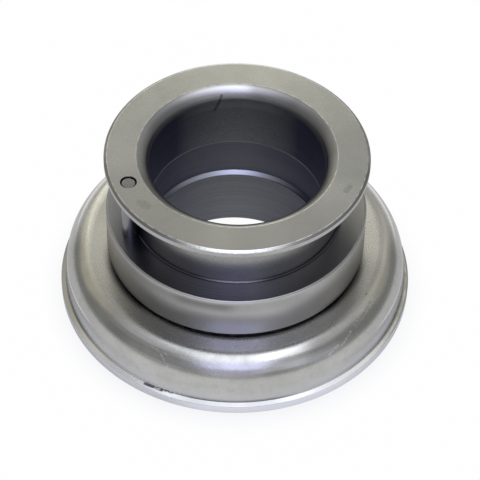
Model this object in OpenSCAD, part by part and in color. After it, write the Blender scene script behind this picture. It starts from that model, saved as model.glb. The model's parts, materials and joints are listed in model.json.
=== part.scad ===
// Clutch release bearing: a turned collar that slides on a guide sleeve carries an
// angular-contact ball bearing. The fork pushes the collar down by its groove, the fixed
// inner race passes the load through the balls to the thrust ring, and the thrust ring
// turns with the clutch fingers under a pressed steel shell.
// Millimetres. Z = 0 is the flat thrust face, +Z points up the sleeve axis to the fork end.

/* [Collar] */
// Bore that slides on the guide sleeve
bore_d = 35; // [30:0.1:40]
// Radius of the rounded lead-in at the top of the bore
lead_r = 3; // [2.8:0.1:4]
// Width of the lead-in on the top face, less than its radius, so that an edge is left
lead_w = 2.4; // [1.2:0.1:2.7]
// Length of the upper bore land, lead-in included
upper_land = 14.35; // [8:0.05:16]
// Length of the grease relief between the two bore lands
relief_l = 9.75; // [4:0.05:12]
// Depth of the grease relief, also the size of its 45 degree lower step
relief_depth = 0.8; // [0.3:0.05:1.2]
// Wall between the bore and the root of the fork groove
root_wall = 3.65; // [3:0.05:6]
// Depth of the fork groove
fork_depth = 5.15; // [3.5:0.05:7]
// Height of the fork groove
fork_h = 12.95; // [9:0.05:16]
// Fillet in the corners of the fork groove
root_fillet = 0.5; // [0.2:0.05:1]
// Thickness of the top flange
rim_t = 1.45; // [1.1:0.05:3]
// Width of the chamfer round the top flange
rim_break = 0.6; // [0.1:0.05:0.8]
// Slope of the chamfer round the top flange
rim_slope = 30; // [20:1:50]
// Thickness of the lower flange that takes the fork load
flange_t = 9.85; // [7:0.05:12]
// Rounding of the lower flange's upper edge
flange_round = 0.45; // [0.2:0.05:1]
// Chamfer on the lower flange's lower edge
flange_break = 0.3; // [0.1:0.05:0.8]
// Wall of the neck that carries the inner race
neck_wall = 3.1; // [2.5:0.1:4]
// Height of the collar nose above the thrust face
nose_lift = 0.4; // [0.3:0.05:1]
// Chamfer on the collar nose, inside and outside
nose_break = 0.4; // [0.1:0.05:0.8]

/* [Fork pin] */
// Diameter of the dowel pin that crosses the fork groove
pin_d = 3.2; // [2.5:0.05:4]
// Direction of the pin round the axis, from +X
pin_angle = 202; // [0:1:359]
// Depth of the pin's blind seat in the lower flange
pin_seat = 5; // [3:0.1:6]
// Depth of the pin's end below the top face
pin_sink = 0.5; // [0.1:0.05:0.8]
// Chamfer on both ends of the pin
pin_break = 0.3; // [0.1:0.05:0.6]
// How deep the pin is let into the groove's root
pin_bite = 0.1; // [0:0.05:0.8]

/* [Balls and cage] */
// Diameter of the balls
ball_d = 7.144; // [6:0.001:7.6]
// Number of balls
ball_count = 18; // [14:1:19]
// Contact angle between the balls and the races
contact_angle = 45; // [40:1:50]
// Room between a ball and its grooves
groove_clear = 0.13; // [0.1:0.01:0.2]
// Thickness of the cage strip
cage_t = 1.2; // [0.8:0.05:1.4]
// Width of cage left beside each pocket
cage_edge = 0.65; // [0.5:0.05:0.8]
// Room between a ball and its pocket
pocket_clear = 0.13; // [0.1:0.01:0.2]

/* [Races] */
// Wall of the inner race behind its groove
race_wall = 3.1; // [2.5:0.1:4]
// Thickness of the inner race over its groove
race_roof = 0.95; // [0.8:0.05:1.5]
// How far the roof of the inner race stops short of the ball circle
roof_short = 0.8; // [0.4:0.05:1.5]
// Width of the inner race's boss against the collar
boss_w = 3.6; // [3:0.1:3.9]
// Thickness of the thrust ring under its groove
floor_t = 3.1; // [2.6:0.05:4]
// Wall of the thrust ring outside its groove
ring_wall = 2.85; // [2.2:0.05:3.5]
// How far the wall of the thrust ring rises above the ball centres
wall_rise = 1.5; // [0.8:0.05:1.8]
// Chamfer on the top of the wall, over which the shell is pressed
wall_break = 0.5; // [0.4:0.05:0.8]
// Height of the lip's underside above the thrust face
lip_lift = 1.5; // [1.2:0.05:2.4]
// Thickness of the lip under the shell
lip_t = 2.25; // [1.5:0.05:2.6]
// How far the lip stands out past the shell
lip_over = 0.95; // [0.6:0.05:2]
// Slope of the lip's upper side, from the shell outwards
lip_slope = 20; // [0:1:25]
// Chamfer on the lip's lower edge
lip_break = 0.3; // [0.1:0.05:0.5]
// How far the edge of the thrust face lies inside the ring wall
face_inset = 1; // [0.5:0.1:2.5]
// Rounding of both edges of the thrust face
face_round = 0.8; // [0.3:0.05:1]

/* [Shell and seals] */
// Sheet thickness of the shell
sheet_t = 1.2; // [0.9:0.05:1.4]
// Outer radius of the shell's shoulder
shoulder_r = 5.5; // [4:0.1:6]
// Draft of the shell's skirt, which the wall of the thrust ring shares
skirt_draft = 5; // [0:0.5:6]
// Room between the shell and the collar's lower flange
run_gap = 0.65; // [0.5:0.05:1.5]
// Room over the inner race's roof, under the shell
roof_gap = 0.6; // [0.5:0.05:1]
// Radial width of the opening between the inner race's boss and the shell
seal_w = 1.4; // [1.2:0.05:2]
// Width of the rear seal's flange under the shell
seal_flange_w = 1.4; // [0.8:0.05:1.8]
// Thickness of the rear seal's flange
seal_flange_t = 0.3; // [0.2:0.05:0.35]
// Radial width of the opening between the collar neck and the thrust ring
mouth_w = 4; // [3.6:0.1:4.4]
// Thickness of the front seal's web and rim
seal_t = 0.8; // [0.6:0.05:1]
// Room between a seal lip and the surface it runs on
lip_clear = 0.15; // [0.1:0.01:0.25]

/* [Hidden] */
// Room in a pressed or bonded seat
fit = 0.02;
$fn = 96;

ball_r = ball_d / 2;
groove_r = ball_r + groove_clear;
bore_r = bore_d / 2;
relief_r = bore_r + relief_depth;
root_r = bore_r + root_wall;
flange_r = root_r + fork_depth;
neck_r = bore_r + neck_wall;
race_bore_r = neck_r + fit;
pitch_r = race_bore_r + race_wall + groove_r;
ring_r = pitch_r + groove_r + ring_wall;
shell_in_r = ring_r + fit;
shell_r = shell_in_r + sheet_t / cos(skirt_draft);
lip_r = shell_r + lip_over;
face_r = ring_r - face_inset;
boss_r = race_bore_r + boss_w;
hole_r = boss_r + seal_w;
mouth_r = neck_r + mouth_w;

ball_z = floor_t + groove_r;
lip_top = lip_lift + lip_t;
roof_z = ball_z + groove_r + race_roof;
sheet_z = roof_z + roof_gap;
shell_top = sheet_z + sheet_t;
under_z = shell_top + run_gap;
fork_z = under_z + flange_t;
rim_z = fork_z + fork_h;
top_z = rim_z + rim_t;
relief_top = top_z - upper_land;
relief_bottom = relief_top - relief_l;
lead_z = top_z - sqrt(lead_w * (2 * lead_r - lead_w));

// Centre of the shoulder's curve, which meets the flat top and the drafted skirt smoothly
curve_z = shell_top - shoulder_r;
curve_r = shell_r - (shoulder_r + (curve_z - lip_top) * sin(skirt_draft)) / cos(skirt_draft);

pin_r = pin_d / 2;
pin_circle = root_r + pin_r - pin_bite;
pin_foot = fork_z - pin_seat;

// Half width of the cage strip, measured along its slope
cage_half = ball_r + pocket_clear + cage_edge;

function ball_name(i) = str("ball_", i < 10 ? "0" : "", i);
BALLS = [for (i = [1 : ball_count]) ball_name(i)];

// A rectangle of the half section, from radius r0 to r1 and from height z0 to z1
module band(r0, r1, z0, z1) {
    translate([r0, z0]) square([r1 - r0, z1 - z0]);
}

// A square of side c standing on its corner at (r, z): it cuts or fills a 45 degree edge
module corner45(r, z, c) {
    polygon([[r - c, z], [r, z - c], [r + c, z], [r, z + c]]);
}

// The waste outside a rounded edge: the corner is at (r, z), and sr and sz point into it
module round_waste(r, z, rad, sr, sz) {
    difference() {
        translate([r, z]) scale([sr, sz]) translate([-rad, -rad]) square(2 * rad);
        translate([r + sr * rad, z + sz * rad]) circle(rad);
        band(min(r + sr * rad, r + 3 * sr * rad), max(r + sr * rad, r + 3 * sr * rad),
             z - 3 * rad, z + 3 * rad);
        band(r - 3 * rad, r + 3 * rad,
             min(z + sz * rad, z + 3 * sz * rad), max(z + sz * rad, z + 3 * sz * rad));
    }
}

// The fillet that fills an inside corner at (r, z), opening towards sr and sz
module fillet(r, z, rad, sr, sz) {
    difference() {
        band(min(r, r + sr * rad), max(r, r + sr * rad),
             min(z, z + sz * rad), max(z, z + sz * rad));
        translate([r + sr * rad, z + sz * rad]) circle(rad);
    }
}

// One turned piece: neck, thick lower flange, fork groove and thin top flange
module collar() {
    color([0.64, 0.64, 0.63]) difference() {
        rotate_extrude() collar_section();
        turn_to_pin() translate([0, 0, pin_foot])
            cylinder(h = top_z - pin_foot + rim_t, r = pin_r + fit);
    }
}

module collar_section() {
    difference() {
        union() {
            band(bore_r, neck_r, nose_lift, under_z);
            band(bore_r, flange_r, under_z, fork_z);
            band(bore_r, root_r, fork_z, rim_z);
            band(bore_r, flange_r, rim_z, top_z);
            fillet(root_r, fork_z, root_fillet, 1, 1);
            fillet(root_r, rim_z, root_fillet, 1, -1);
        }
        polygon([[flange_r - rim_break, top_z],
                 [flange_r + rim_break, top_z - 2 * rim_break * tan(rim_slope)],
                 [flange_r + rim_break, top_z + rim_t], [flange_r - rim_break, top_z + rim_t]]);
        round_waste(flange_r, fork_z, flange_round, -1, -1);
        corner45(flange_r, under_z, flange_break);
        corner45(neck_r, nose_lift, nose_break);
        corner45(bore_r, nose_lift, nose_break);
        difference() {
            band(bore_r - lead_w, bore_r + lead_w, lead_z, top_z + lead_w);
            translate([bore_r + lead_r, lead_z]) circle(lead_r);
        }
        polygon([[bore_r - relief_depth, relief_bottom - relief_depth],
                 [relief_r, relief_bottom + relief_depth],
                 [relief_r, relief_top], [bore_r - relief_depth, relief_top]]);
    }
}

module turn_to_pin() {
    rotate([0, 0, pin_angle]) translate([pin_circle, 0, 0]) children();
}

// Dowel pin, pressed through the top flange into the lower one
module fork_pin() {
    pin_top = top_z - pin_sink;
    color([0.55, 0.56, 0.58]) turn_to_pin() rotate_extrude() difference() {
        band(0, pin_r, pin_foot, pin_top);
        corner45(pin_r, pin_foot, pin_break);
        corner45(pin_r, pin_top, pin_break);
    }
}

// Fixed race: pressed on the neck, its boss against the lower flange
module inner_race() {
    groove_z = ball_z - groove_r * sin(contact_angle);
    color([0.6, 0.61, 0.63]) rotate_extrude() difference() {
        union() {
            band(race_bore_r, boss_r, ball_z, under_z);
            band(race_bore_r, pitch_r - roof_short, ball_z, roof_z);
            band(race_bore_r, race_bore_r + race_wall, groove_z, ball_z + fit);
        }
        corner45(race_bore_r + race_wall, groove_z, race_wall / 4);
        translate([pitch_r, ball_z]) circle(groove_r);
    }
}

// Turning race: ball groove above, flat thrust face below, lip that the shell sits on
module thrust_ring() {
    wall_top = ball_z + wall_rise;
    wall_r = ring_r - (wall_top - wall_break - lip_top) * tan(skirt_draft);
    color([0.66, 0.67, 0.69]) rotate_extrude() difference() {
        union() {
            band(mouth_r, face_r, 0, floor_t);
            polygon([[mouth_r, lip_lift], [lip_r, lip_lift], [lip_r, lip_top - lip_over * tan(lip_slope)],
                     [shell_r, lip_top], [ring_r, lip_top], [wall_r, wall_top - wall_break],
                     [wall_r - wall_break, wall_top], [mouth_r, wall_top]]);
        }
        translate([pitch_r, ball_z]) circle(groove_r);
        band(mouth_r - groove_r, pitch_r + groove_r, ball_z, ball_z + 2 * wall_rise);
        band(mouth_r - groove_r, pitch_r, floor_t, ball_z + groove_r);
        polygon([[mouth_r - seal_t, floor_t - seal_t], [pitch_r, floor_t + seal_t / 2],
                 [mouth_r - seal_t, floor_t + seal_t]]);
        corner45(lip_r, lip_lift, lip_break);
        round_waste(face_r, 0, face_round, -1, 1);
        round_waste(mouth_r, 0, face_round, 1, 1);
    }
}

// Pressed sheet cover: flat top, rounded shoulder, drafted skirt down to the lip
module shell() {
    color([0.7, 0.7, 0.72]) rotate_extrude() difference() {
        cup_section(0, lip_top);
        cup_section(sheet_t, lip_top - sheet_t);
        band(0, hole_r, lip_top - sheet_t, shell_top + sheet_t);
    }
}

// Half section of the cup inside a surface that lies depth below the shell's outer one
module cup_section(depth, foot_z) {
    curve = shoulder_r - depth;
    top = shell_top - depth;
    foot_r = shell_r - depth / cos(skirt_draft) - (foot_z - lip_top) * tan(skirt_draft);
    polygon([[0, foot_z], [foot_r, foot_z],
             [curve_r + curve * cos(skirt_draft), curve_z + curve * sin(skirt_draft)],
             [curve_r, curve_z], [curve_r, top], [0, top]]);
    intersection() {
        translate([curve_r, curve_z]) circle(curve);
        band(curve_r, curve_r + curve, curve_z, top);
    }
}

// Conical strip square to the contact line, with a round pocket for each ball
module cage() {
    color([0.52, 0.52, 0.53]) difference() {
        rotate_extrude() translate([pitch_r, ball_z]) rotate(90 - contact_angle)
            translate([-cage_half, -cage_t / 2]) square([2 * cage_half, cage_t]);
        for (i = [1 : ball_count]) turn_to_ball(i) rotate([0, 90 + contact_angle, 0])
            cylinder(h = 3 * cage_t, r = ball_r + pocket_clear, center = true);
    }
}

module turn_to_ball(i) {
    rotate([0, 0, (i - 1) * 360 / ball_count]) translate([pitch_r, 0, ball_z]) children();
}

module ball(i) {
    color([0.78, 0.79, 0.82]) turn_to_ball(i) sphere(r = ball_r);
}

// Rubber ring bonded in the shell's hole, running round the inner race's boss
module rear_seal() {
    color([0.1, 0.1, 0.11]) rotate_extrude() {
        band(boss_r + lip_clear, hole_r - fit, sheet_z - seal_flange_t, shell_top);
        band(hole_r - fit, hole_r + seal_flange_w, sheet_z - seal_flange_t, sheet_z);
    }
}

// Rubber ring pressed in the mouth of the thrust ring, with a lip round the collar neck
module front_seal() {
    rim_r = mouth_r - fit;
    foot_z = face_round;
    rim_h = floor_t - seal_t - foot_z;
    color([0.1, 0.1, 0.11]) rotate_extrude() {
        band(rim_r - seal_t, rim_r, foot_z, foot_z + rim_h);
        band(neck_r + mouth_w / 3, rim_r, foot_z, foot_z + seal_t);
        polygon([[neck_r + mouth_w / 3, foot_z], [neck_r + mouth_w / 3, foot_z + seal_t],
                 [neck_r + lip_clear, foot_z + rim_h], [neck_r + lip_clear, foot_z + seal_t]]);
    }
}

collar();
fork_pin();
inner_race();
shell();
thrust_ring();
cage();
rear_seal();
front_seal();
for (i = [1 : ball_count]) ball(i);
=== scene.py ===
"""Clutch release bearing in bare steel, standing on its thrust face on a white studio sheet."""

import json
import math

import bpy
import bmesh
import numpy as np
from mathutils import Matrix, Vector


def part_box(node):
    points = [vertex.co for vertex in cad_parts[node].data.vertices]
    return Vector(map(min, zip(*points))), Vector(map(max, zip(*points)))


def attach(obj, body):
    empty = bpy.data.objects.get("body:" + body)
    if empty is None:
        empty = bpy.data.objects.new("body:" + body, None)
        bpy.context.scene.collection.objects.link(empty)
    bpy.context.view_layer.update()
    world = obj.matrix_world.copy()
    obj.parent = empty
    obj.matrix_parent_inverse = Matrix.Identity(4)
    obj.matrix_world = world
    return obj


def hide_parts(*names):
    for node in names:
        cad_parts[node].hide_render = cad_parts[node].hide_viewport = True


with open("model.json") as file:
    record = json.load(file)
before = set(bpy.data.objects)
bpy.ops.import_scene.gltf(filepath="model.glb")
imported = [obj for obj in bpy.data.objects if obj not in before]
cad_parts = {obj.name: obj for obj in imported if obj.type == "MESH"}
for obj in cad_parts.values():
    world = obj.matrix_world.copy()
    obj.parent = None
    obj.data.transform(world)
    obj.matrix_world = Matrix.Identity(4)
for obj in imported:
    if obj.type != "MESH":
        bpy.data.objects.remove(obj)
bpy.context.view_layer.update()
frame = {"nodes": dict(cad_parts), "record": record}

# The viewpoint
# A long lens looks down at the fork end from about 48 degrees, a little rolled, so that
# the bore, the fork groove and the shell all show.
MM = 0.001
eye = Vector((0.0, -290.88, 331.87)) * MM
aim = Vector((0.915, 0.0, 12.841)) * MM
roll = math.radians(1.2964)

camera = bpy.data.objects.new("camera", bpy.data.cameras.new("camera"))
camera.data.sensor_width = 36.0
camera.data.lens = 157.52
camera.data.clip_start = 0.01
camera.data.clip_end = 20.0
facing = (aim - eye).to_track_quat("-Z", "Y").to_matrix().to_4x4()
camera.matrix_world = Matrix.Translation(eye) @ facing @ Matrix.Rotation(roll, 4, "Z")
bpy.context.scene.collection.objects.link(camera)
bpy.context.scene.camera = camera
bpy.context.scene.view_settings.view_transform = "Standard"


# The studio
# A matt white sheet lies under the bearing in a dim, faintly warm room. A cool lamp hangs
# overhead, and weaker panels stand round the bearing.
class Socket:
    """A shader socket that takes part in Python arithmetic: each operator adds one Math node."""

    def __init__(self, tree, link):
        self.tree = tree
        self.link = link

    def node(self, kind, settings=None, inputs=None, output=0):
        """Adds a node: its settings come first, then values or links go into its sockets."""
        made = self.tree.nodes.new(kind)
        for name, value in (settings or {}).items():
            setattr(made, name, value)
        for name, value in (inputs or {}).items():
            if isinstance(value, Socket):
                self.tree.links.new(value.link, made.inputs[name])
            else:
                made.inputs[name].default_value = value
        return Socket(self.tree, made.outputs[output] if len(made.outputs) else None)

    def output(self, name):
        """Another output of the node that this socket belongs to."""
        return Socket(self.tree, self.link.node.outputs[name])

    def maths(self, operation, first, second=0.0, clamp=False):
        """Adds one Math node, which may clamp its result between 0 and 1."""
        settings = {"operation": operation, "use_clamp": clamp}
        return self.node("ShaderNodeMath", settings, {0: first, 1: second})

    def __add__(self, other):
        return self.maths("ADD", self, other)

    def __radd__(self, other):
        return self.maths("ADD", other, self)

    def __sub__(self, other):
        return self.maths("SUBTRACT", self, other)

    def __rsub__(self, other):
        return self.maths("SUBTRACT", other, self)

    def __mul__(self, other):
        return self.maths("MULTIPLY", self, other)

    def __rmul__(self, other):
        return self.maths("MULTIPLY", other, self)

    def __truediv__(self, other):
        return self.maths("DIVIDE", self, other)

    def __rtruediv__(self, other):
        return self.maths("DIVIDE", other, self)

    def largest(self, other):
        """The larger of two values."""
        return self.maths("MAXIMUM", self, other)

    def step(self, low, high, start=0.0, end=1.0):
        """Smooth step: start below low, end above high, an S curve between."""
        settings = {"interpolation_type": "SMOOTHSTEP"}
        return self.node("ShaderNodeMapRange", settings, {0: self, 1: low, 2: high, 3: start, 4: end})

    def above(self, level, soft):
        """0 up to the level, rising to 1 over soft above it."""
        return self.step(level, level + soft)

    def below(self, level, soft):
        """1 up to the level, falling to 0 over soft above it."""
        return self.step(level, level + soft, 1.0, 0.0)

    def band(self, low, high, soft):
        """1 between low and high, falling to 0 over soft on both sides."""
        return self.above(low - soft, soft) * self.below(high, soft)

    def tint(self, under, over):
        """Mixes two colours: under where this value is 0, over where it is 1."""
        settings = {"data_type": "RGBA", "clamp_factor": True}
        return self.node("ShaderNodeMix", settings, {0: self, 6: under, 7: over}, 2)


def new_tree(owner):
    """Empties the owner's node tree and returns a socket to begin expressions from."""
    owner.use_nodes = True
    owner.node_tree.nodes.clear()
    return Socket(owner.node_tree, None)


def surface_place(start):
    """Object coordinates of the surface."""
    return start.node("ShaderNodeTexCoord", None, None, "Object")


def tone(*shares):
    """An opaque colour from red, green and blue, or from one grey level."""
    return (shares * 3)[:3] + (1.0,)


def coat(piece, finish):
    """Makes the finish the only material of a piece."""
    piece.data.materials.clear()
    piece.data.materials.append(finish)


sheet_half = 1.6
bore_spot_r = 18 * MM
foot_r = 33 * MM
shadow_r = 36 * MM
sheet_z = -0.05 * MM
sheet_corners = [(x * sheet_half, y * sheet_half, sheet_z) for x, y in ((-1, -1), (1, -1), (1, 1), (-1, 1))]
sheet_mesh = bpy.data.meshes.new("floor_sheet")
sheet_mesh.from_pydata(sheet_corners, [], [(0, 1, 2, 3)])
sheet = bpy.data.objects.new("floor_sheet", sheet_mesh)
bpy.context.scene.collection.objects.link(sheet)

sheet_white = bpy.data.materials.new("floor_white")
start = new_tree(sheet_white)
spot = surface_place(start)
from_middle = start.node("ShaderNodeVectorMath", {"operation": "LENGTH"}, {0: spot}, "Value")
through_bore = from_middle.below(bore_spot_r, 4 * MM)
mirrored_white = from_middle.above(foot_r, 10 * MM).largest(through_bore * 0.2)
seen_white = from_middle.step(shadow_r, shadow_r + 5 * MM, 0.88, 0.985).largest(through_bore * 0.97)
camera_ray = start.node("ShaderNodeLightPath", None, None, "Is Camera Ray")
seen = camera_ray.largest(camera_ray.output("Is Glossy Ray") * mirrored_white)
seen = seen.largest(camera_ray.output("Is Transmission Ray"))
lit_paper = start.node("ShaderNodeBsdfDiffuse", None, {"Color": tone(0.82, 0.85, 0.95)})
plain_white = start.node("ShaderNodeEmission", None, {"Color": tone(1.0), "Strength": 1.0})
paper = start.node("ShaderNodeMixShader", None, {0: seen * seen_white, 1: lit_paper, 2: plain_white})
start.node("ShaderNodeOutputMaterial", None, {"Surface": paper})
coat(sheet, sheet_white)

room = bpy.data.worlds.new("dim_room")
bpy.context.scene.world = room
start = new_tree(room)
room_light = start.node("ShaderNodeBackground", None, {"Color": tone(0.37, 0.367, 0.352), "Strength": 1.0})
start.node("ShaderNodeOutputWorld", None, {"Surface": room_light})

# Each lamp: its turn from the front and its rise in degrees, its width and height in metres,
# and the brightness of its face in red, green and blue.
lamp_reach = 1.0
for name, side, rise, width, height, glow in (
    ("roof", 0, 82, 0.50, 0.73, (1.72, 1.79, 1.96)),
    ("roof_left", 270, 66, 0.60, 0.50, (0.04, 0.04, 0.06)),
    ("roof_right", 90, 66, 0.60, 0.50, (0.50, 0.50, 0.54)),
    ("front_high", 0, 48, 0.50, 0.46, (1.22, 1.28, 1.95)),
    ("front_low", 0, 18, 0.60, 0.46, (0.38, 0.38, 0.50)),
    ("back", 190, 32, 0.60, 0.46, (1.26, 1.24, 1.02)),
    ("left_back", 235, 38, 0.60, 0.50, (0.48, 0.44, 0.31)),
    ("right_back", 125, 40, 0.60, 0.50, (0.30, 0.29, 0.22)),
    ("right_front", 48, 24, 0.60, 0.60, (0.30, 0.31, 0.38)),
    ("left_front", 312, 24, 0.60, 0.60, (0.18, 0.19, 0.21)),
):
    around = math.radians(side)
    upright = math.radians(rise)
    out = math.cos(upright)
    lamp_place = lamp_reach * Vector((math.sin(around) * out, -math.cos(around) * out, math.sin(upright)))
    panel = bpy.data.objects.new(name, bpy.data.lights.new(name, "AREA"))
    panel.data.shape = "RECTANGLE"
    panel.data.size = width
    panel.data.size_y = height
    panel.data.color = [share / max(glow) for share in glow]
    panel.data.energy = max(glow) * math.pi * width * height
    panel.location = lamp_place
    panel.rotation_euler = (-lamp_place).to_track_quat("-Z", "Y").to_euler()
    bpy.context.scene.collection.objects.link(panel)

# The collar
# One piece of steel turned on a lathe: a thin top flange, the fork groove, a thick lower flange
# that takes the push of the fork, and a neck that carries the bearing. Its bore has a rounded
# lead-in and a shallow grease relief, and a pin hole is drilled beside the groove's root.
collar_low, collar_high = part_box("collar")
sleeve_bore = frame["record"]["mounts"][0]
bore_r = sleeve_bore["dims"]["r_mm"] * MM
flange_r = collar_high.x
top_z = collar_high.z
nose_z = collar_low.z
rim_t = 1.45 * MM
rim_break_w = 0.58 * MM
rim_break_h = 0.33 * MM
fork_h = 12.95 * MM
fork_depth = 5.15 * MM
root_fillet = 0.5 * MM
flange_t = 9.85 * MM
flange_round = 0.45 * MM
flange_break = 0.3 * MM
neck_t = 3.1 * MM
nose_break = 0.4 * MM
lead_r = 3.0 * MM
lead_w = 2.4 * MM
upper_land = 14.35 * MM
relief_l = 9.75 * MM
relief_depth = 0.8 * MM
edge_r = 0.1 * MM
crisp_r = 0.02 * MM
round_steps = 480

root_r = flange_r - fork_depth
neck_r = bore_r + neck_t
rim_edge_r = flange_r - rim_break_w
lead_edge_r = bore_r + lead_w
relief_r = bore_r + relief_depth
rim_z = top_z - rim_t
fork_z = rim_z - fork_h
under_z = fork_z - flange_t
relief_top = top_z - upper_land
relief_bottom = relief_top - relief_l
lead_z = top_z - math.sqrt(lead_w * (2 * lead_r - lead_w))
lead_drop = lead_w * math.tan(math.asin(1 - lead_w / lead_r))


def rounded_outline(corners, longest):
    """Closed outline of a half section from (radius, height, rounding) corners.

    Each corner becomes an arc tangent to its two sides, with about one point for every six
    degrees, or every eighteen on a small edge, and the straight sides between get points no
    further apart than longest. Two of these guard each arc, close to its ends.
    """
    small_edge = 0.25 * MM
    guard_gap = 0.15 * MM
    points = np.array(corners, float)
    place, rounding = points[:, :2], points[:, 2]
    before = np.roll(place, 1, 0) - place
    after = np.roll(place, -1, 0) - place
    before /= np.linalg.norm(before, axis=1)[:, None]
    after /= np.linalg.norm(after, axis=1)[:, None]
    half = np.arccos(np.clip((before * after).sum(1), -1, 1)) / 2
    reach = rounding / np.tan(half)
    inward = (before + after) / np.linalg.norm(before + after, axis=1)[:, None]
    centre = place + inward * (rounding / np.sin(half))[:, None]
    arcs = []
    for i in range(len(place)):
        first = place[i] + before[i] * reach[i] - centre[i]
        last = place[i] + after[i] * reach[i] - centre[i]
        turn = math.atan2(first[0] * last[1] - first[1] * last[0], first @ last)
        spacing = 6 if rounding[i] > small_edge else 18
        steps = np.linspace(0, turn, max(3, int(abs(math.degrees(turn)) / spacing) + 1))
        arcs.append(centre[i] + np.stack([
            first[0] * np.cos(steps) - first[1] * np.sin(steps),
            first[0] * np.sin(steps) + first[1] * np.cos(steps)], 1))
    outline = []
    for arc, following in zip(arcs, arcs[1:] + arcs[:1]):
        side = following[0] - arc[-1]
        length = np.linalg.norm(side)
        guard = min(guard_gap, length / 4)
        count = max(1, int(math.ceil((length - 2 * guard) / longest)))
        along = np.linspace(guard, length - guard, count + 1)
        outline += [arc, arc[-1] + side / length * along[:, None]]
    return np.concatenate(outline)


def turned(name, outline, segments, wobble=None):
    """Turns a closed half section about Z: the point at turn a is (r cos a, r sin a, z).

    wobble, if given, takes the grids of radius, height and turn and returns the first two changed.
    """
    weld_gap = 1e-7
    turn = np.linspace(0, 2 * np.pi, segments, endpoint=False)
    radius, angle = np.meshgrid(outline[:, 0], turn, indexing="ij")
    height = np.repeat(outline[:, 1:], segments, 1)
    if wobble is not None:
        radius, height = wobble(radius, height, angle)
    points = np.stack([radius * np.cos(angle), radius * np.sin(angle), height], -1).reshape(-1, 3)
    index = np.arange(len(points)).reshape(radius.shape)
    right, up = np.roll(index, -1, 1), np.roll(index, -1, 0)
    quads = np.stack([index, right, np.roll(right, -1, 0), up], -1).reshape(-1, 4)
    mesh = bpy.data.meshes.new(name)
    mesh.from_pydata(points, [], quads.tolist())
    mesh.update()
    piece = bpy.data.objects.new(name, mesh)
    bpy.context.scene.collection.objects.link(piece)
    weld = bmesh.new()
    weld.from_mesh(mesh)
    bmesh.ops.remove_doubles(weld, verts=weld.verts, dist=weld_gap)
    bmesh.ops.recalc_face_normals(weld, faces=weld.faces)
    weld.to_mesh(mesh)
    weld.free()
    return piece


def smooth_shade(piece, sharp_over=30):
    """Shades smooth, with an edge kept sharp where its faces meet at more than sharp_over degrees."""
    mesh = piece.data
    mesh.polygons.foreach_set("use_smooth", np.ones(len(mesh.polygons), bool))
    mesh.set_sharp_from_angle(angle=math.radians(sharp_over))
    mesh.update()


collar_outline = rounded_outline([
    (bore_r + nose_break, nose_z, edge_r),
    (neck_r - nose_break, nose_z, edge_r),
    (neck_r, nose_z + nose_break, edge_r),
    (neck_r, under_z, edge_r),
    (flange_r - flange_break, under_z, edge_r),
    (flange_r, under_z + flange_break, edge_r),
    (flange_r, fork_z, flange_round),
    (root_r, fork_z, root_fillet),
    (root_r, rim_z, root_fillet),
    (flange_r, rim_z, edge_r),
    (flange_r, top_z - rim_break_h, edge_r),
    (rim_edge_r, top_z, edge_r),
    (lead_edge_r, top_z, crisp_r),
    (bore_r, top_z - lead_drop, lead_r),
    (bore_r, relief_top, edge_r),
    (relief_r, relief_top, edge_r),
    (relief_r, relief_bottom + relief_depth, edge_r),
    (bore_r, relief_bottom, edge_r),
    (bore_r, nose_z + nose_break, edge_r),
], 2.5 * MM)
collar = turned("collar_turned", collar_outline, round_steps)

pin_low, pin_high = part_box("fork_pin")
pin_x = (pin_low.x + pin_high.x) / 2
pin_y = (pin_low.y + pin_high.y) / 2
pin_r = (pin_high.x - pin_low.x) / 2
drill_r = pin_r + 0.02 * MM
drill_core_r = 0.001 * MM
mouth_break = 0.04 * MM
drill = turned("pin_drill", rounded_outline([
    (drill_core_r, pin_low.z, 0),
    (drill_r, pin_low.z, 0),
    (drill_r, top_z - mouth_break, 0),
    (drill_r + 2 * mouth_break, top_z + mouth_break, 0),
    (drill_core_r, top_z + mouth_break, 0),
], 1.0), 64)
drill.data.transform(Matrix.Translation((pin_x, pin_y, 0)))
cut = collar.modifiers.new("pin_hole", "BOOLEAN")
cut.operation = "DIFFERENCE"
cut.solver = "EXACT"
cut.object = drill
bpy.context.view_layer.update()
drilled = bpy.data.meshes.new_from_object(collar.evaluated_get(bpy.context.evaluated_depsgraph_get()))
collar.modifiers.clear()
collar.data = drilled
bpy.data.objects.remove(drill)
smooth_shade(collar)


def from_axis(start):
    """Object coordinates of the surface, with its radius, height and turn about the axis.

    The turn is in radians: 0 on the right of the view, minus half pi in front.
    """
    place = surface_place(start)
    x = start.node("ShaderNodeSeparateXYZ", None, {0: place}, "X")
    y = x.output("Y")
    radius = start.maths("SQRT", x * x + y * y)
    turn = start.maths("ARCTAN2", y, x)
    return place, radius, x.output("Z"), turn


def to_sides(turn):
    """The cosine of the turn without its sign: 1 on the left and right, 0 in front and behind."""
    return turn.maths("ABSOLUTE", turn.maths("COSINE", turn))


def lathe_lines(radius, z, turn, pitch, run):
    """Noise drawn out round the axis: lines pitch apart that stay whole over run radians."""
    across = radius.node("ShaderNodeCombineXYZ", None, {0: radius / pitch, 1: z / pitch, 2: turn / run})
    return radius.node("ShaderNodeTexNoise", {"noise_dimensions": "3D"},
                       {"Vector": across, "Scale": 1.0, "Detail": 2.0, "Roughness": 0.55})


def clouds(place, size, detail=3.0):
    """Soft blotches about size across."""
    return place.node("ShaderNodeTexNoise", {"noise_dimensions": "3D"},
                      {"Vector": place, "Scale": 1.0 / size, "Detail": detail, "Roughness": 0.5})


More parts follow.
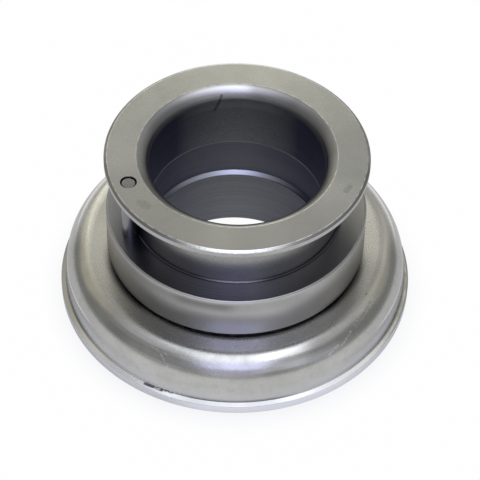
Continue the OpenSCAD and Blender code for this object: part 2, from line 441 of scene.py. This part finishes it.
def streak(place, first, last, width):
    """1 on the straight line between two points, fading to 0 at half a width from it."""
    run = last - first
    away = place.node("ShaderNodeVectorMath", {"operation": "SUBTRACT"}, {0: place, 1: tuple(first)})
    dot = place.node("ShaderNodeVectorMath", {"operation": "DOT_PRODUCT"},
                     {0: away, 1: tuple(run / run.length_squared)}, "Value")
    share = place.maths("ADD", dot, 0.0, True)
    foot = place.node("ShaderNodeVectorMath", {"operation": "SCALE"}, {0: tuple(run), "Scale": share})
    gap = place.node("ShaderNodeVectorMath", {"operation": "DISTANCE"}, {0: away, 1: foot}, "Value")
    return gap.step(0.2 * width, 0.5 * width, 1.0, 0.0)


def on_turn(radius, height, degrees):
    """The point at a radius, a height and a turn about the axis."""
    turn = math.radians(degrees)
    return Vector((radius * math.cos(turn), radius * math.sin(turn), height))


def steel_finish(finish, colour, roughness, bump, bump_height, brushed=0.0):
    """Closes a steel finish: the colour, roughness and bump vary, the rest is set on the sockets.

    brushed, from 0 to 1, draws the reflections out across the marks of turning.
    """
    start = Socket(finish.node_tree, None)
    relief = start.node("ShaderNodeBump", None, {"Strength": 1.0, "Distance": bump_height, "Height": bump})
    shader = start.node("ShaderNodeBsdfPrincipled", None, {
        "Base Color": colour, "Metallic": 1.0, "Roughness": roughness, "Normal": relief,
        "Specular Tint": tone(0.8), "Anisotropic": brushed, "Anisotropic Rotation": 0.0})
    start.node("ShaderNodeOutputMaterial", None, {"Surface": shader})


collar_steel = bpy.data.materials.new("collar_steel")
start = new_tree(collar_steel)
place, radius, z, turn = from_axis(start)
sideways = to_sides(turn)
fine = lathe_lines(radius, z, turn, 0.16 * MM, 1.2)
broad = lathe_lines(radius, z, turn, 0.7 * MM, 2.5)
blotch = clouds(place, 7 * MM)
grain = clouds(place, 0.3 * MM, 2.0)
colour = blotch.step(0.35, 0.7).tint(tone(0.44, 0.44, 0.435), tone(0.39, 0.39, 0.385))
colour = (grain.step(0.42, 0.66) * 0.55).tint(colour, tone(0.32, 0.32, 0.312))

# Painted shade darkens the groove and the bore, most at the sides, and less of it lies on the groove's root
# and the lower land of the bore.
in_groove = radius.below(flange_r - 0.5 * MM, 0.3 * MM) * z.band(fork_z, rim_z, 0.05 * MM)
in_bore = radius.below(relief_r, 0.3 * MM) * z.step(lead_z - 0.6 * MM, top_z - 0.5 * MM, 1.0, 0.0)
# Painted shade in the groove and the bore.
recess_shade = (in_groove * 0.85).largest(in_bore * 0.9)
colour = recess_shade.tint(colour, tone(0.235, 0.235, 0.262))
# Less painted shade on the groove's root and the lower land.
groove_root = radius.below(root_r + 0.05 * MM, 0.1 * MM) * in_groove
lower_land = in_bore * z.below(relief_bottom - 0.1 * MM, 0.1 * MM)
colour = groove_root.largest(lower_land).tint(colour, tone(0.37, 0.37, 0.365))
colour = (lower_land * broad.step(0.4, 0.6) * 0.35).tint(colour, tone(0.26, 0.26, 0.25))
oil_specks = (in_bore * 0.5 + in_groove) * grain.step(0.35, 0.7)
colour = (oil_specks * 0.35).tint(colour, tone(0.18, 0.18, 0.19))
# The groove's floor: painted light to the right, painted shade in front under the top flange.
groove_floor = in_groove * z.below(fork_z + 0.1 * MM, 0.2 * MM)
colour = (groove_floor * turn.band(-0.8, 0.3, 0.4) * 0.6).tint(colour, tone(0.34, 0.34, 0.325))
colour = (groove_floor * turn.band(-2.1, -1.55, 0.2) * 0.42).tint(colour, tone(0.09, 0.088, 0.13))
# Painted shade in the bore and on the groove's root, at the sides.
bore_side_shade = (in_bore - 0.4 * lower_land) * sideways.step(0.05, 0.95) * 0.85
bore_side_shade = bore_side_shade + groove_root * sideways.step(0.5, 1.0) * 0.8
colour = bore_side_shade.tint(colour, tone(0.07, 0.074, 0.122))
turned_lines = recess_shade * fine.step(0.4, 0.65) * sideways.step(0.3, 0.9, 0.32, 0.1)
colour = turned_lines.tint(colour, tone(0.34, 0.34, 0.36))
# A painted highlight on the relief's lower slope, strongest behind.
slope_ring = in_bore * z.band(relief_bottom, relief_bottom + relief_depth, 0.05 * MM)
colour = (slope_ring * turn.step(0.9, 1.7, 0.15, 1.0)).tint(colour, tone(0.55, 0.57, 0.61))
# Painted light where the bore begins below the lead-in, in front and behind.
bore_start = in_bore * z.band(lead_z - 1.0 * MM, lead_z + 0.4 * MM, 0.8 * MM)
colour = (bore_start * sideways.step(0.1, 0.7, 0.6, 0.0)).tint(colour, tone(0.46, 0.46, 0.49))
# Painted shade in the root's fillet, at the sides.
fillet = in_groove * z.below(fork_z + 0.4 * MM, 0.2 * MM) * radius.below(root_r + 0.4 * MM, 0.2 * MM)
colour = (fillet * sideways.step(0.05, 0.4)).tint(colour, tone(0.06, 0.06, 0.07))

# The wall of the lower flange has painted highlights in front and along its upper edge, and painted shade at
# the sides, in stretches of the front and at its foot.
wall_foot = under_z + 1.0 * MM
wall_head = fork_z - 1.0 * MM
wall_edge = z.band(fork_z - 0.3 * MM, fork_z + 0.1 * MM, 0.5 * MM)
wall_edge = wall_edge * radius.above(flange_r - 0.5 * MM, 0.4 * MM)
colour = (wall_edge * sideways.step(0.1, 0.7, 0.5, 0.0)).tint(colour, tone(0.66, 0.66, 0.68))
colour = (wall_edge * sideways.step(0.4, 0.8, 0.0, 0.45)).tint(colour, tone(0.22))
outer_wall = radius.above(flange_r - 0.1 * MM, 0.05 * MM) * z.below(fork_z - 1.5 * MM, 1.2 * MM)
side_shade = sideways.step(0.4, 0.95) * (0.5 + 0.25 * turn.band(-0.9, 0.5, 0.4))
side_shade = side_shade * z.step(wall_foot, wall_head, 1.2, 0.1)
colour = (outer_wall * side_shade).tint(colour, tone(0.18))
colour = (outer_wall * sideways.step(0.1, 0.6, 0.5, 0.0)).tint(colour, tone(0.56, 0.555, 0.58))
wall_light = outer_wall * turn.band(-1.25, -0.8, 0.3) * z.step(wall_foot, wall_head, 0.6, 0.15)
colour = wall_light.tint(colour, tone(0.66, 0.655, 0.67))
upper_wall = outer_wall * z.above(fork_z - 4.0 * MM, 2.5 * MM)
colour = (upper_wall * turn.band(-2.4, -1.7, 0.3) * 0.6).tint(colour, tone(0.2))
wall_dim = 0.45 * turn.band(-1.95, -1.65, 0.15) + 0.25 * turn.band(-1.45, -1.1, 0.15)
colour = (upper_wall * wall_dim).tint(colour, tone(0.1))
# Painted shade at the foot of the wall, at the sides, where the shell comes close.
under_edge = z.below(under_z + 0.2 * MM, 1.4 * MM) * sideways.step(0.5, 0.9) * radius.step(neck_r, flange_r)
colour = (under_edge * 0.6).tint(colour, tone(0.10, 0.10, 0.105))

# The chamfer of the rim has a painted highlight in front and painted shade at the sides, and the lead-in of
# the bore has painted highlights in front and behind and painted shade at the sides. Their edges are worn
# bright, with a painted highlight.
chamfer = radius.above(rim_edge_r - 0.05 * MM, 0.1 * MM) * z.above(top_z - rim_break_h - 0.1 * MM, 0.1 * MM)
# Painted shade on the chamfer at the sides.
chamfer_shade = turn.band(-2.95, -0.2, 0.2) * sideways.step(0.15, 0.6, 0.0, 0.8)
colour = (chamfer * chamfer_shade).tint(colour, tone(0.17, 0.17, 0.175))
# A painted highlight glints on the chamfer in front.
chamfer_highlight = clouds(place, 0.5 * MM).step(0.3, 0.6, 0.5, 1.0) * sideways.step(0.12, 0.45, 1.0, 0.0)
colour = (chamfer * chamfer_highlight).tint(colour, tone(0.90, 0.90, 0.91))
lead_in = radius.below(lead_edge_r - 0.1 * MM, 0.1 * MM) * z.above(lead_z, 1.0 * MM)
# Painted shade on the lead-in at the sides, and behind on the right.
lead_shade = sideways.step(0.3, 0.7) * sideways.step(0.9, 1.0, 0.85, 0.4)
colour = (lead_in * lead_shade).tint(colour, tone(0.22))
right_back = turn.band(0.95, 1.35, 0.2)
lead_dim = 0.55 * right_back + 0.25 * turn.band(0.1, 0.75, 0.2)
colour = (lead_in * lead_dim).tint(colour, tone(0.16))
# A painted highlight at the foot of the lead-in, in front and behind.
lead_foot = z.band(lead_z + 0.5 * MM, lead_z + 0.9 * MM, 0.5 * MM) * radius.below(bore_r + 0.4 * MM, 0.2 * MM)
colour = (lead_foot * sideways.step(0.1, 0.8, 0.5, 0.15)).tint(colour, tone(0.90, 0.90, 0.93))
# A painted highlight on the lead-in near the face, in front and behind.
lead_highlight = lead_in * z.above(top_z - 1.0 * MM, 0.4 * MM) * sideways.step(0.2, 0.8, 0.9, 0.0)
colour = (lead_highlight * right_back.step(0.0, 1.0, 1.0, 0.4)).tint(colour, tone(0.64, 0.64, 0.66))
# The edges are worn bright, with a painted highlight that fades at the sides of the lead-in.
lead_edge = radius.band(lead_edge_r - 0.08 * MM, lead_edge_r + 0.08 * MM, 0.06 * MM)
rim_edge = radius.band(rim_edge_r - 0.06 * MM, rim_edge_r + 0.06 * MM, 0.05 * MM)
edge_wear_and_highlight = lead_edge * sideways.step(0.2, 0.8, 1.0, 0.55) + rim_edge
edge_wear_and_highlight = edge_wear_and_highlight * z.above(top_z - 0.2 * MM, 0.1 * MM) * clouds(place, 1.2 * MM, 5.0).step(0.3, 0.6)
colour = (edge_wear_and_highlight * 0.85).tint(colour, tone(0.84, 0.83, 0.80))

# The top face has painted highlights in front, behind and to the front right, and painted shade at the sides
# and to the front left. A fine painted highlight marks the upper edge of the relief.
on_face = radius.band(lead_edge_r, rim_edge_r, 0.1 * MM) * z.above(top_z - 0.1 * MM, 0.05 * MM)
# Painted highlights in front and behind.
face_highlight = 0.5 * turn.band(-1.75, -1.35, 0.5) + 0.25 * turn.band(1.3, 1.8, 0.5)
colour = (on_face * face_highlight).tint(colour, tone(0.62))
# Painted shade at the sides and to the front left.
face_shade = 0.5 * turn.band(-0.05, 0.2, 0.35) + 0.35 * turn.band(-2.8, -1.95, 0.3)
face_shade = face_shade + 0.25 * start.maths("COSINE", turn).step(-1.0, -0.7, 1.0, 0.0)
colour = (on_face * face_shade).tint(colour, tone(0.28, 0.28, 0.275))
# A painted highlight to the front right.
colour = (on_face * turn.band(-1.15, -0.6, 0.4) * 0.28).tint(colour, tone(0.70, 0.70, 0.69))
# A painted highlight: a fine line above the relief.
relief_line = radius.below(relief_r - 0.4 * MM, 0.1 * MM)
relief_line = relief_line * z.band(relief_top + 0.1 * MM, relief_top + 0.3 * MM, 0.2 * MM)
colour = (relief_line * 0.75).tint(colour, tone(0.44, 0.44, 0.45))

# The pin's shadow is painted in the groove behind it, two smudges lie on the face, and a bent scratch crosses
# the lead-in.
pin_shadow_r = 21.2 * MM
# Painted shadow of the pin in the groove.
pin_shadow = streak(place, on_turn(pin_shadow_r, fork_z, 209), on_turn(pin_shadow_r, rim_z, 209), 9 * MM)
colour = (pin_shadow * in_groove * 0.55).tint(colour, tone(0.07, 0.075, 0.12))
left_smudge = streak(place, on_turn(23.0 * MM, top_z, 217), on_turn(22.7 * MM, top_z, 220.5), 2.6 * MM)
right_smudge = streak(place, on_turn(23.3 * MM, top_z, 335.5), on_turn(23.5 * MM, top_z, 339), 1.6 * MM)
smudge = left_smudge.largest(right_smudge) * clouds(place, 0.8 * MM)
colour = (smudge * 0.9).tint(colour, tone(0.24, 0.24, 0.235))
scratch_w = 0.8 * MM
scratch_top = on_turn(18.0 * MM, 36.8 * MM, 101)
scratch_bend = on_turn(17.5 * MM, 35.0 * MM, 103.5)
scratch_foot = on_turn(17.5 * MM, 33.5 * MM, 106)
scratch = streak(place, scratch_top, scratch_bend, scratch_w)
scratch = scratch.largest(streak(place, scratch_bend, scratch_foot, scratch_w))
colour = (scratch * 0.65).tint(colour, tone(0.07, 0.07, 0.09))

roughness = 0.27 + 0.10 * fine + 0.08 * (blotch - 0.5)
roughness = roughness + 0.26 * (in_bore - slope_ring) + 0.15 * lead_in * sideways
steel_finish(collar_steel, colour, roughness, fine * 0.6 + broad * 0.4, 0.006 * MM, 0.7)
coat(collar, collar_steel)
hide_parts("collar")
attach(collar, "carrier")

# The fork pin
# A hardened dowel pressed down through the top flange, across the fork groove and into the
# lower flange. Its ends are chamfered and its upper end sits a little below the face.
pin_break = 0.3 * MM
pin_top = top_z - 0.3 * MM
pin_core_r = 0.0001 * MM
pin = turned("fork_pin_dowel", rounded_outline([
    (pin_core_r, pin_low.z, 0),
    (pin_r - pin_break, pin_low.z, edge_r),
    (pin_r, pin_low.z + pin_break, edge_r),
    (pin_r, pin_top - pin_break, edge_r),
    (pin_r - pin_break, pin_top, edge_r),
    (pin_core_r, pin_top, 0),
], 1.0 * MM), 96)
pin.data.transform(Matrix.Translation((pin_x, pin_y, 0)))
smooth_shade(pin)

pin_steel = bpy.data.materials.new("pin_steel")
start = new_tree(pin_steel)
place, radius, z, turn = from_axis(start)
grind = clouds(place, 0.4 * MM)
colour = grind.step(0.3, 0.7).tint(tone(0.27), tone(0.20, 0.20, 0.205))
pin_side = z.below(pin_top - 0.4 * MM, 0.1 * MM)
colour = (pin_side * 0.8).tint(colour, tone(0.21, 0.21, 0.225))
pin_end = (pin_x, pin_y, pin_top)
from_end = start.node("ShaderNodeVectorMath", {"operation": "DISTANCE"}, {0: place, 1: pin_end}, "Value")
dirty = from_end.above(pin_r - 0.34 * MM, 0.1 * MM) * z.above(pin_top - 0.5 * MM, 0.1 * MM)
colour = (dirty * 0.9).tint(colour, tone(0.05, 0.05, 0.055))
steel_finish(pin_steel, colour, 0.24 + 0.1 * grind, grind, 0.004 * MM)
coat(pin, pin_steel)
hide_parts("fork_pin")
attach(pin, "carrier")

# The inner race
# A ring of hardened bearing steel, pressed on the collar's neck with its boss against the
# lower flange. Its ground groove holds the balls from above and inside.
race_steel = bpy.data.materials.new("race_steel")
start = new_tree(race_steel)
place, radius, z, turn = from_axis(start)
fine = lathe_lines(radius, z, turn, 0.1 * MM, 2.0)
colour = fine.step(0.3, 0.7).tint(tone(0.66), tone(0.58, 0.58, 0.59))
steel_finish(race_steel, colour, 0.22 + 0.1 * fine, fine, 0.003 * MM)
coat(frame["nodes"]["inner_race"], race_steel)

# The balls
# Chrome steel balls, lapped to a mirror finish with a thin film of oil. They run loose in the
# pockets of the cage, between the grooves of the two races.
ball_steel = bpy.data.materials.new("ball_steel")
start = new_tree(ball_steel)
film = clouds(surface_place(start), 1.5 * MM)
colour = film.step(0.4, 0.7).tint(tone(0.74, 0.74, 0.75), tone(0.66, 0.64, 0.58))
steel_finish(ball_steel, colour, 0.06 + 0.08 * film, film, 0.001 * MM)
for name, node in frame["nodes"].items():
    if name.startswith("ball_"):
        coat(node, ball_steel)

# The cage
# A conical strip of pressed steel with a round pocket for each ball, dull from tumbling. It
# rides on the balls.
cage_steel = bpy.data.materials.new("cage_steel")
start = new_tree(cage_steel)
tumbled = clouds(surface_place(start), 0.5 * MM, 5.0)
colour = tumbled.step(0.3, 0.7).tint(tone(0.50), tone(0.40, 0.40, 0.41))
steel_finish(cage_steel, colour, 0.42 + 0.15 * tumbled, tumbled, 0.01 * MM)
coat(frame["nodes"]["cage"], cage_steel)

# The thrust ring
# The turning race, forged and ground: a ball groove inside, the flat thrust face below and
# a lip that stands out at the foot. The shell sits on the lip.
ring_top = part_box("thrust_ring")[1].z
shell_low, shell_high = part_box("shell")
shell_r = shell_high.x
lip_top = shell_low.z
lip_over = 0.95 * MM
lip_t = 2.25 * MM
lip_break = 0.3 * MM
lip_bank = math.radians(20)
lip_foot_round = 0.2 * MM
lip_edge_round = 0.12 * MM
seat_round = 0.05 * MM
press_room = 0.02 * MM
shell_t = 1.2 * MM
skirt_draft = math.radians(5)
wall_break = 0.5 * MM
face_step = 1.0 * MM
face_round = 0.8 * MM
ball_room = 0.13 * MM
mouth_drop = 0.535 * MM
slope_w = 1.61 * MM

ball_low, ball_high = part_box("ball_01")
ball_z = (ball_low.z + ball_high.z) / 2
pitch_r = (ball_low.x + ball_high.x) / 2
groove_r = (ball_high.x - ball_low.x) / 2 + ball_room
groove_round = 0.999 * groove_r
floor_z = ball_z - groove_r
mouth_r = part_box("front_seal")[1].x + press_room
mouth_z = floor_z - mouth_drop
slope_r = mouth_r + slope_w
lip_r = shell_r + lip_over
lip_lift = lip_top - lip_t
lip_drop = lip_over * math.tan(lip_bank)
ring_r = shell_r - shell_t / math.cos(skirt_draft) - press_room
wall_r = ring_r - (ring_top - wall_break - lip_top) * math.tan(skirt_draft)
face_r = ring_r - face_step

ring = turned("thrust_ring_turned", rounded_outline([
    (mouth_r, 0.0, face_round),
    (face_r, 0.0, face_round),
    (face_r, lip_lift, lip_foot_round),
    (lip_r, lip_lift, lip_break),
    (lip_r, lip_top - lip_drop, lip_edge_round),
    (shell_r, lip_top, crisp_r),
    (ring_r, lip_top, seat_round),
    (wall_r, ring_top - wall_break, edge_r),
    (wall_r - wall_break, ring_top, edge_r),
    (pitch_r + groove_r, ring_top, edge_r),
    (pitch_r + groove_r, floor_z, groove_round),
    (slope_r, floor_z, edge_r),
    (mouth_r, mouth_z, edge_r),
], 2.0 * MM), round_steps)
smooth_shade(ring)

ring_steel = bpy.data.materials.new("ring_steel")
start = new_tree(ring_steel)
place, radius, z, turn = from_axis(start)
sideways = to_sides(turn).step(0.55, 0.95)
diagonal = to_sides(turn).band(0.4, 0.75, 0.2)
fine = lathe_lines(radius, z, turn, 0.12 * MM, 1.5)
blotch = clouds(place, 5 * MM)
colour = blotch.step(0.3, 0.7).tint(tone(0.52), tone(0.47, 0.47, 0.48))
# Painted shade at the sides and painted highlights on the diagonals.
colour = (sideways * 0.7).tint(colour, tone(0.36))
colour = (diagonal * 0.8).tint(colour, tone(0.90, 0.90, 0.92))
# The lip's outer face is paler, a painted reflection of the sheet, with painted shade at the sides and to the
# front left.
outer_face = z.below(lip_top - lip_drop - 0.1 * MM, 0.1 * MM)
colour = outer_face.tint(colour, tone(0.84, 0.84, 0.86))
colour = (outer_face * sideways * 0.6).tint(colour, tone(0.60, 0.61, 0.62))
colour = (outer_face * turn.band(-2.9, -2.0, 0.3) * 0.5).tint(colour, tone(0.5, 0.5, 0.52))
# Painted shade on the seam at the sides.
seam = radius.below(shell_r, 0.2 * MM) * sideways
colour = (seam * 0.3).tint(colour, tone(0.12, 0.12, 0.13))
# A painted highlight along the lip's edge on the right side.
lip_edge = radius.band(lip_r - 0.6 * MM, lip_r - 0.4 * MM, 0.15 * MM)
lip_edge = lip_edge * z.above(lip_top - lip_drop - 0.1 * MM, 0.1 * MM)
lip_light = sideways * turn.band(-1.0, 0.6, 0.4) * clouds(place, 2 * MM).step(0.3, 0.6)
colour = (lip_edge * lip_light * 0.7).tint(colour, tone(0.84))
nick = streak(place, on_turn(35.45 * MM, 3.65 * MM, 240.4), on_turn(35.35 * MM, 3.7 * MM, 246.6), 0.7 * MM)
nick_end = streak(place, on_turn(35.3 * MM, 3.72 * MM, 244), on_turn(35.2 * MM, 3.75 * MM, 250), 0.5 * MM)
nick = nick.largest(0.7 * nick_end) * clouds(place, 1.5 * MM).step(0.3, 0.5)
colour = (nick * 0.9).tint(colour, tone(0.03, 0.035, 0.06))
steel_finish(ring_steel, colour, 0.22 + 0.12 * fine, fine, 0.004 * MM, 0.4)
coat(ring, ring_steel)
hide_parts("thrust_ring")
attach(ring, "rotor")

# The shell
# A cup pressed from steel sheet, with a flat top, a rolled shoulder and a straight skirt
# that is pressed over the thrust ring down to the lip. Handling has left scuffs on it.
shell_top = shell_high.z
shell_in_r = shell_r - shell_t / math.cos(skirt_draft)
seal_bead = 1.4 * MM
hole_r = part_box("rear_seal")[1].x - seal_bead
hole_round = 0.2 * MM
foot_round = 0.08 * MM
shoulder_r = 5.5 * MM
skirt_lean = (shell_top - lip_top) * math.tan(skirt_draft)
swell = 0.02 * MM
swell_foot = lip_top + 1.5 * MM


def pressed(radius, height, angle):
    """A pressing is never quite even: its shoulder and skirt swell and sink a few hundredths.

    The height gains a sum of three sine waves round the axis, with 3, 7 and 13 crests. It
    grows from nothing at the inner end of the shoulder and is left out at the foot.
    """
    share = np.clip((radius - (shell_r - shoulder_r)) / shoulder_r, 0, 1)
    ripple = 0.6 * np.sin(3 * angle + 0.7) + 0.4 * np.sin(7 * angle + 2.1) + 0.25 * np.sin(13 * angle)
    return radius, height + swell * ripple * share * (height > swell_foot)


shell = turned("shell_pressed", rounded_outline([
    (hole_r, shell_top - shell_t, edge_r),
    (shell_in_r - skirt_lean, shell_top - shell_t, shoulder_r - shell_t),
    (shell_in_r, lip_top, edge_r),
    (shell_r, lip_top, foot_round),
    (shell_r - skirt_lean, shell_top, shoulder_r),
    (hole_r, shell_top, hole_round),
], 1.2 * MM), round_steps, pressed)
smooth_shade(shell)


def on_shell(height, degrees):
    """The point of the shell's outside at a height in millimetres and a turn about the axis.

    The radius follows the leaning skirt up to the shoulder, then the shoulder's arc.
    """
    arc_z = shell_top - shoulder_r
    arc_x = shell_r - (shoulder_r + (arc_z - lip_top) * math.sin(skirt_draft)) / math.cos(skirt_draft)
    rise = height * MM - arc_z
    if rise < shoulder_r * math.sin(skirt_draft):
        reach = shell_r - (height * MM - lip_top) * math.tan(skirt_draft)
    else:
        reach = arc_x + math.sqrt(shoulder_r ** 2 - rise ** 2)
    return on_turn(reach, height * MM, degrees)


shell_steel = bpy.data.materials.new("shell_steel")
start = new_tree(shell_steel)
place, radius, z, turn = from_axis(start)
sideways = to_sides(turn).step(0.55, 0.95)
diagonal = to_sides(turn).band(0.4, 0.75, 0.2)
behind = start.maths("SINE", turn)
drawn = lathe_lines(radius, z, turn, 0.35 * MM, 0.8)
blotch = clouds(place, 6 * MM)
mottle = clouds(place, 1.6 * MM)
grain = clouds(place, 0.32 * MM, 2.0)
colour = blotch.step(0.3, 0.7).tint(tone(0.49, 0.49, 0.485), tone(0.44, 0.44, 0.43))
colour = (mottle.step(0.45, 0.7) * 0.5).tint(colour, tone(0.40, 0.395, 0.38))
colour = (grain.step(0.4, 0.7) * 0.25).tint(colour, tone(0.38, 0.38, 0.375))

# The flat and the shoulder: painted shade lies in the corner beside the collar, and painted highlights and
# painted shade lie in stretches round the shoulder and the flat.
on_top = z.above(shell_top - 0.4 * MM, 0.3 * MM)
# Painted light on the flat at the sides.
colour = (on_top * sideways.step(0.0, 1.0, 0.1, 0.6)).tint(colour, tone(0.62, 0.61, 0.58))
# Painted shade in the corner beside the collar, in front.
corner_shade = radius.below(flange_r, 1.6 * MM) * sideways.step(0.0, 0.5) * behind.step(-0.4, -0.05, 1.0, 0.0)
colour = (corner_shade * 0.85).tint(colour, tone(0.10, 0.10, 0.105))
# Painted shade on the shoulder at the front sides.
shoulder = z.above(lip_top + 1.5 * MM, 3.0 * MM) * z.below(shell_top - 0.6 * MM, 0.5 * MM)
colour = (shoulder * sideways * behind.step(-0.1, 0.1, 0.45, 0.0)).tint(colour, tone(0.28, 0.28, 0.275))
# A painted highlight on a band of the shoulder behind.
back_band = z.band(shell_top - 1.4 * MM, shell_top - 0.35 * MM, 0.3 * MM) * behind.step(-0.1, 0.25)
colour = (back_band * 0.7).tint(colour, tone(0.92, 0.91, 0.88))
# Painted highlights along the shoulder in front, with painted shade below them on the left.
ridge = z.band(shell_top - 0.7 * MM, shell_top - 0.25 * MM, 0.2 * MM)
ridge = ridge * (turn.band(-1.3, -1.15, 0.15) + turn.band(-2.25, -2.05, 0.2))
wide_ridge = z.band(shell_top - 2.2 * MM, shell_top - 0.4 * MM, 0.3 * MM) * turn.band(-1.35, -1.2, 0.15)
colour = (ridge * 0.4 + wide_ridge * 0.4).tint(colour, tone(0.92))
below_ridge = z.band(shell_top - 2.2 * MM, shell_top - 1.4 * MM, 0.3 * MM) * turn.band(-2.3, -1.95, 0.2)
colour = (below_ridge * 0.5).tint(colour, tone(0.22))
# Painted shade and painted light on stretches of the flat, and painted shade on the shoulder to the front
# right.
colour = (on_top * turn.band(-2.0, -1.6, 0.25) * 0.25).tint(colour, tone(0.3, 0.3, 0.31))
colour = (on_top * turn.band(-0.05, 0.7, 0.25) * 0.5).tint(colour, tone(0.86, 0.85, 0.81))
ridge_shade = z.band(shell_top - 1.6 * MM, shell_top - 0.4 * MM, 0.3 * MM) * turn.band(-1.0, -0.75, 0.15)
colour = (ridge_shade * 0.4).tint(colour, tone(0.28, 0.28, 0.275))
colour = (on_top * turn.band(2.4, 2.85, 0.25) * 0.4).tint(colour, tone(0.36, 0.36, 0.35))

# The skirt is paler towards the lip, a painted reflection of the sheet, with a painted highlight along the
# foot of the shoulder.
shoulder_foot = shell_top - shoulder_r + shoulder_r * math.sin(skirt_draft)
# Painted reflection of the sheet: the skirt paler towards the lip.
low_skirt = z.below(lip_top, 4 * MM)
colour = (low_skirt * 0.7).tint(colour, tone(0.565, 0.565, 0.59))
# Painted shade below the shoulder's foot at the sides.
under_line = z.band(shoulder_foot - 1.4 * MM, shoulder_foot - 0.3 * MM, 0.4 * MM) * sideways
colour = (under_line * 0.4).tint(colour, tone(0.32))
# A painted highlight along the shoulder's foot at the sides.
foot_line_highlight = z.band(shoulder_foot + 0.2 * MM, shoulder_foot + 0.4 * MM, 0.25 * MM) * sideways.step(0.7, 1.0)
colour = (foot_line_highlight * 0.7).tint(colour, tone(0.78, 0.78, 0.77))
# Painted light at the foot on the diagonals.
foot = z.below(lip_top + 0.2 * MM, 0.6 * MM)
colour = (foot * diagonal * 0.9).tint(colour, tone(0.86, 0.86, 0.88))
# Painted shade on the seam at the sides.
seam = z.below(lip_top + 0.02 * MM, 0.1 * MM) * sideways
colour = (seam * 0.3).tint(colour, tone(0.12, 0.12, 0.13))

# Scuffs and nicks: each runs from one height in millimetres and turn in degrees to another,
# with its width in millimetres, its strength and its grey level.
scuffed = clouds(place, 0.5 * MM, 5.0).step(0.38, 0.62)
for first, last, width, strength, level in (
    ((12.0, 244), (10.4, 248), 0.45, 0.45, 0.90),
    ((12.1, 245.5), (11.8, 248.5), 0.40, 0.40, 0.90),
    ((12.4, 240), (12.1, 243), 0.90, 0.30, 0.80),
    ((12.3, 251.5), (12.0, 257), 0.80, 0.25, 0.80),
    ((12.0, 315), (10.9, 309), 0.70, 0.45, 0.90),
    ((11.4, 308), (10.6, 303.5), 0.70, 0.40, 0.90),
    ((12.7, 331), (12.2, 318), 1.60, 0.30, 0.75),
    ((12.8, 330.5), (12.5, 322.5), 0.70, 0.50, 0.14),
    ((3.85, 245), (4.05, 250.5), 0.50, 0.90, 0.05),
    ((4.05, 250.5), (4.25, 253.5), 0.40, 0.40, 0.15),
    ((13.24, 3), (13.23, 3.5), 0.50, 0.60, 0.08),
    ((13.2, 331.5), (13.2, 332), 0.50, 0.60, 0.08),
):
    mark = streak(place, on_shell(*first), on_shell(*last), width * MM) * scuffed
    colour = (mark * strength).tint(colour, tone(level))
roughness = 0.18 + 0.09 * drawn + 0.08 * mottle
steel_finish(shell_steel, colour, roughness, drawn * 0.7 + grain * 0.3, 0.0028 * MM)
coat(shell, shell_steel)
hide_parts("shell")
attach(shell, "rotor")

# The seals
# Two black nitrile rubber rings: one bonded in the shell's hole round the inner race, one
# pressed in the mouth of the thrust ring with its lip round the collar's neck.
seal_rubber = bpy.data.materials.new("seal_rubber")
start = new_tree(seal_rubber)
bloom = clouds(surface_place(start), 1.2 * MM, 5.0)
colour = bloom.step(0.35, 0.75).tint(tone(0.02, 0.02, 0.021), tone(0.045, 0.045, 0.047))
relief = start.node("ShaderNodeBump", None, {"Strength": 0.6, "Distance": 0.01 * MM, "Height": bloom})
shader = start.node("ShaderNodeBsdfPrincipled", None, {
    "Base Color": colour, "Metallic": 0.0, "Roughness": 0.5 + 0.25 * bloom, "Normal": relief})
start.node("ShaderNodeOutputMaterial", None, {"Surface": shader})
for name in ("rear_seal", "front_seal"):
    coat(frame["nodes"][name], seal_rubber)
